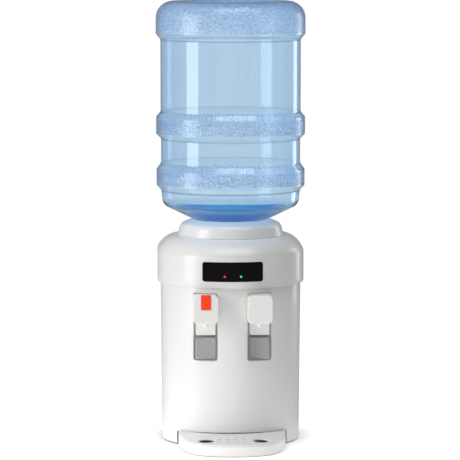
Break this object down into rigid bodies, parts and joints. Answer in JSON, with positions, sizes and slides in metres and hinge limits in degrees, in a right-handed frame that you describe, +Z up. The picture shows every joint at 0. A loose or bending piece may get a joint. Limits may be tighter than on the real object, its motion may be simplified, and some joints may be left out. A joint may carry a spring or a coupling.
{
  "type": "countertop water dispenser",
  "caption": "Countertop water dispenser with an inverted blue bottle on a collar, hot and cold paddle taps, child lock and pull-out drip tray.",
  "frame": {"origin": "on the bottle's axis, on the surface the dispenser stands on", "axes": "+Z up along the bottle, the front with its taps and drip tray faces -Y, +X to the user's right"},
  "size_m": [0.2707, 0.3534, 0.7965],
  "materials": {
    "white_gloss": "glossy white ABS",
    "white_satin": "satin white polypropylene",
    "grey_plastic": "light grey, fine grain",
    "rubber_grey": "soft, non-slip",
    "screw_steel": "zinc plated",
    "window_black": "glossy black acrylic",
    "indicator_red": "clear red light pipe",
    "indicator_green": "clear green light pipe",
    "circuit_board": "green solder mask",
    "bottle_blue": "clear blue polycarbonate, pebbled bands",
    "cap_blue": "blue polyethylene",
    "silicone": "translucent silicone",
    "stainless": "stainless steel",
    "aluminium": "extruded",
    "ceramic_white": "white ceramic faces",
    "black_plastic": "black nylon",
    "foam": "white bead foam",
    "paddle_grey": "silver grey satin",
    "lock_orange": "orange red",
    "rocker_red": "red rocker",
    "rocker_green": "green rocker"
  },
  "bodies": {
    "cabinet": {"cabinet_shell": "white_gloss", "base_plate": "white_gloss", "foot_ring": "rubber_grey", "rear_panel": "grey_plastic", "case_screws": "screw_steel", "top_cover": "white_gloss", "display_panel": "window_black", "heating_indicator": "indicator_red", "cooling_indicator": "indicator_green", "indicator_board": "circuit_board", "probe_seal": "silicone", "hot_tap_recess": "white_gloss", "cold_tap_recess": "white_gloss", "hot_tap_body": "white_satin", "cold_tap_body": "white_satin", "hot_valve_spring": "stainless", "cold_valve_spring": "stainless", "hot_tap_cover": "white_gloss", "cold_tap_cover": "white_gloss", "paddle_pins": "stainless", "tap_nozzles": "white_satin", "tap_nuts": "white_satin", "valve_caps": "white_satin", "cold_tank": "stainless", "cold_tank_lid": "white_satin", "separator_disc": "white_satin", "cold_plate": "aluminium", "peltier_module": "ceramic_white", "heat_sink": "aluminium", "fan_frame": "black_plastic", "tank_insulation": "foam", "hot_tank": "stainless", "heater_band": "stainless", "hot_tank_jacket": "foam", "thermostats": "black_plastic", "hot_tank_stand": "white_satin", "cold_water_hose": "silicone", "hot_water_hose": "silicone", "feed_hose": "silicone", "drain_hose": "silicone", "vent_hose": "silicone", "drain_fitting": "white_satin", "switch_housings": "black_plastic", "mains_inlet": "black_plastic", "power_board": "circuit_board"},
    "bottle": {"water_bottle": "bottle_blue", "bottle_cap": "cap_blue"},
    "collar": {"bottle_collar": "white_gloss", "bottle_probe": "white_satin"},
    "hot_paddle": {"hot_paddle": "paddle_grey"},
    "cold_paddle": {"cold_paddle": "paddle_grey"},
    "hot_valve": {"hot_valve_stem": "silicone"},
    "cold_valve": {"cold_valve_stem": "silicone"},
    "child_lock": {"child_lock": "lock_orange"},
    "drip_tray": {"drip_tray": "white_gloss"},
    "drip_tray_cover": {"drip_tray_cover": "white_gloss"},
    "heating_rocker": {"heating_rocker": "rocker_red"},
    "cooling_rocker": {"cooling_rocker": "rocker_green"},
    "fan_rotor": {"fan_rotor": "black_plastic"},
    "drain_plug": {"drain_plug": "black_plastic"}
  },
  "joints": [
    {"name": "collar_lift", "type": "slide", "parent": "cabinet", "child": "collar", "axis": [0, 0, 1], "range_m": [0, 0.09]},
    {"name": "bottle_lift", "type": "slide", "parent": "collar", "child": "bottle", "axis": [0, 0, 1], "range_m": [0, 0.1]},
    {"name": "hot_paddle_press", "type": "hinge", "parent": "cabinet", "child": "hot_paddle", "pos_m": [-0.0483, -0.098, 0.1996], "axis": [1, 0, 0], "range_deg": [0, 12], "stiffness_Nm_per_rad": 0.15, "springref_deg": -5.73},
    {"name": "cold_paddle_press", "type": "hinge", "parent": "cabinet", "child": "cold_paddle", "pos_m": [0.0483, -0.098, 0.1996], "axis": [1, 0, 0], "range_deg": [0, 12], "stiffness_Nm_per_rad": 0.15, "springref_deg": -5.73},
    {"name": "hot_valve_lift", "type": "slide", "parent": "cabinet", "child": "hot_valve", "axis": [0, 0, 1], "range_m": [0, 0.0018], "deforming": ["hot_valve_spring"]},
    {"name": "cold_valve_lift", "type": "slide", "parent": "cabinet", "child": "cold_valve", "axis": [0, 0, 1], "range_m": [0, 0.0018], "deforming": ["cold_valve_spring"]},
    {"name": "child_lock_press", "type": "slide", "parent": "cabinet", "child": "child_lock", "axis": [0, 1, 0], "range_m": [0, 0.003], "stiffness_N_per_m": 300, "springref_m": -0.001},
    {"name": "drip_tray_slide", "type": "slide", "parent": "cabinet", "child": "drip_tray", "axis": [0, -1, 0], "range_m": [0, 0.08]},
    {"name": "drip_tray_cover_lift", "type": "slide", "parent": "drip_tray", "child": "drip_tray_cover", "axis": [0, 0, 1], "range_m": [0, 0.03]},
    {"name": "heating_switch", "type": "hinge", "parent": "cabinet", "child": "heating_rocker", "pos_m": [-0.042, 0.1036, 0.076], "axis": [1, 0, 0], "range_deg": [0, 16]},
    {"name": "cooling_switch", "type": "hinge", "parent": "cabinet", "child": "cooling_rocker", "pos_m": [-0.02, 0.1036, 0.076], "axis": [1, 0, 0], "range_deg": [0, 16]},
    {"name": "fan_spin", "type": "hinge", "parent": "cabinet", "child": "fan_rotor", "pos_m": [0, 0.0934, 0.235], "axis": [0, 1, 0], "continuous": true},
    {"name": "drain_plug_pull", "type": "slide", "parent": "cabinet", "child": "drain_plug", "axis": [0, 1, 0], "range_m": [0, 0.03]}
  ],
  "couplings": [
    {"joint": "hot_valve_lift", "follows": "hot_paddle_press", "m_per_rad": 0.008},
    {"joint": "cold_valve_lift", "follows": "cold_paddle_press", "m_per_rad": 0.008}
  ]
}
